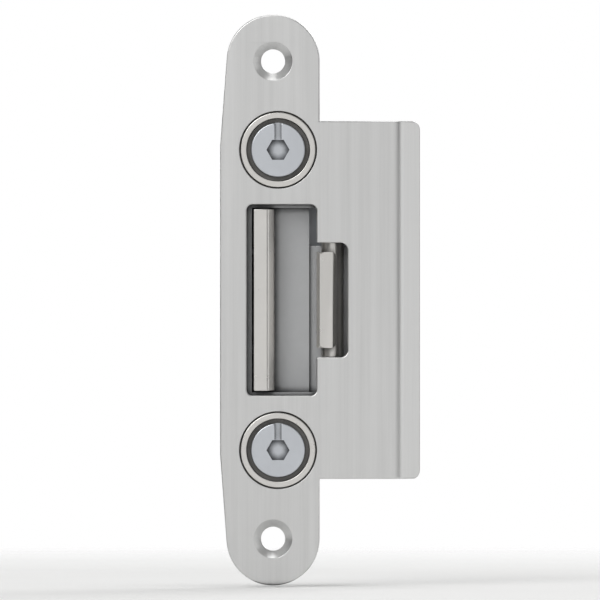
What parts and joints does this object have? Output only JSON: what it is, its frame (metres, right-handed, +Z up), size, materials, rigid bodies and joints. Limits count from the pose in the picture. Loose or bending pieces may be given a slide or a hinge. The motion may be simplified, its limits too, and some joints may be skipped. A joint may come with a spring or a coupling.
{
  "type": "electric door strike",
  "caption": "Electric door strike: a round-ended face plate with a curved lip, a latch pocket, a swinging keeper with a solenoid lock behind it, and eccentric adjusters that shift the body.",
  "frame": {"origin": "on the back of the face plate, midway between its two fixing screws", "axes": "+Z up along the plate, +X towards the lip, +Y into the door frame, away from the door"},
  "size_m": [0.0501, 0.0318, 0.1426],
  "materials": {
    "satin_steel": "stainless steel sheet, fine satin grain along its height",
    "nickel": "nickel-plated steel, smooth satin",
    "zinc_plated": "zinc-plated steel, slightly blue and cloudy",
    "cast_zinc": "die-cast zinc, matt with fine grain",
    "spring_steel": "hardened steel, polished",
    "soft_iron": "soft iron, stamped and dull-plated",
    "brass": "turned and milled brass",
    "copper": "enamelled copper wire",
    "dark_plastic": "dark glass-filled plastic, fine texture",
    "red_wire": "red wire insulation",
    "black_wire": "black wire insulation"
  },
  "bodies": {
    "face_plate": {"strike_plate": "satin_steel", "adjuster_bush_top": "nickel", "adjuster_bush_bottom": "nickel", "guide_washer_top": "zinc_plated", "guide_washer_bottom": "zinc_plated", "guide_nut_top": "zinc_plated", "guide_nut_bottom": "zinc_plated"},
    "adjuster_top": {"adjuster_top": "zinc_plated", "adjuster_clip_top": "spring_steel"},
    "adjuster_bottom": {"adjuster_bottom": "zinc_plated", "adjuster_clip_bottom": "spring_steel"},
    "keeper": {"keeper": "nickel"},
    "armature": {"armature": "soft_iron"},
    "strike_body": {"housing": "cast_zinc", "rear_cover": "zinc_plated", "cover_screw_1": "zinc_plated", "cover_screw_2": "zinc_plated", "cover_screw_3": "zinc_plated", "cover_screw_4": "zinc_plated", "latch_guide": "nickel", "latch_guide_screw_top": "zinc_plated", "latch_guide_screw_bottom": "zinc_plated", "pin_block_top": "brass", "pin_block_bottom": "brass", "keeper_pin": "spring_steel", "keeper_spring": "spring_steel", "armature_pin": "spring_steel", "armature_clip": "spring_steel", "armature_spring": "spring_steel", "coil_bobbin": "dark_plastic", "coil_winding": "copper", "coil_core": "soft_iron", "coil_yoke": "soft_iron", "coil_screw": "zinc_plated", "terminal_block": "dark_plastic", "terminal_block_screw": "zinc_plated", "terminal_clamp_1": "brass", "terminal_clamp_2": "brass", "terminal_screw_1": "zinc_plated", "terminal_screw_2": "zinc_plated", "coil_lead_1": "red_wire", "coil_lead_2": "black_wire"}
  },
  "joints": [
    {"name": "body_slide", "type": "slide", "parent": "face_plate", "child": "strike_body", "axis": [1, 0, 0], "range_m": [-0.001, 0.001]},
    {"name": "adjuster_top_turn", "type": "hinge", "parent": "face_plate", "child": "adjuster_top", "pos_m": [0.00125, 0, 0.03755], "axis": [0, 1, 0], "range_deg": [-45, 45]},
    {"name": "adjuster_bottom_turn", "type": "hinge", "parent": "face_plate", "child": "adjuster_bottom", "pos_m": [0.00125, 0, -0.03755], "axis": [0, 1, 0], "range_deg": [-45, 45]},
    {"name": "keeper_swing", "type": "hinge", "parent": "strike_body", "child": "keeper", "pos_m": [0.0149, 0.0052, 0], "axis": [0, 0, 1], "range_deg": [0, 40], "stiffness_Nm_per_rad": 0.01, "springref_deg": -34.38},
    {"name": "armature_tilt", "type": "hinge", "parent": "strike_body", "child": "armature", "pos_m": [0.007, 0.0162, 0.0114], "axis": [0, -1, 0], "range_deg": [0, 10], "stiffness_Nm_per_rad": 0.004, "springref_deg": -22.92}
  ],
  "couplings": [
    {"joint": "adjuster_top_turn", "follows": "body_slide", "rad_per_m": 780},
    {"joint": "adjuster_bottom_turn", "follows": "body_slide", "rad_per_m": 780}
  ]
}
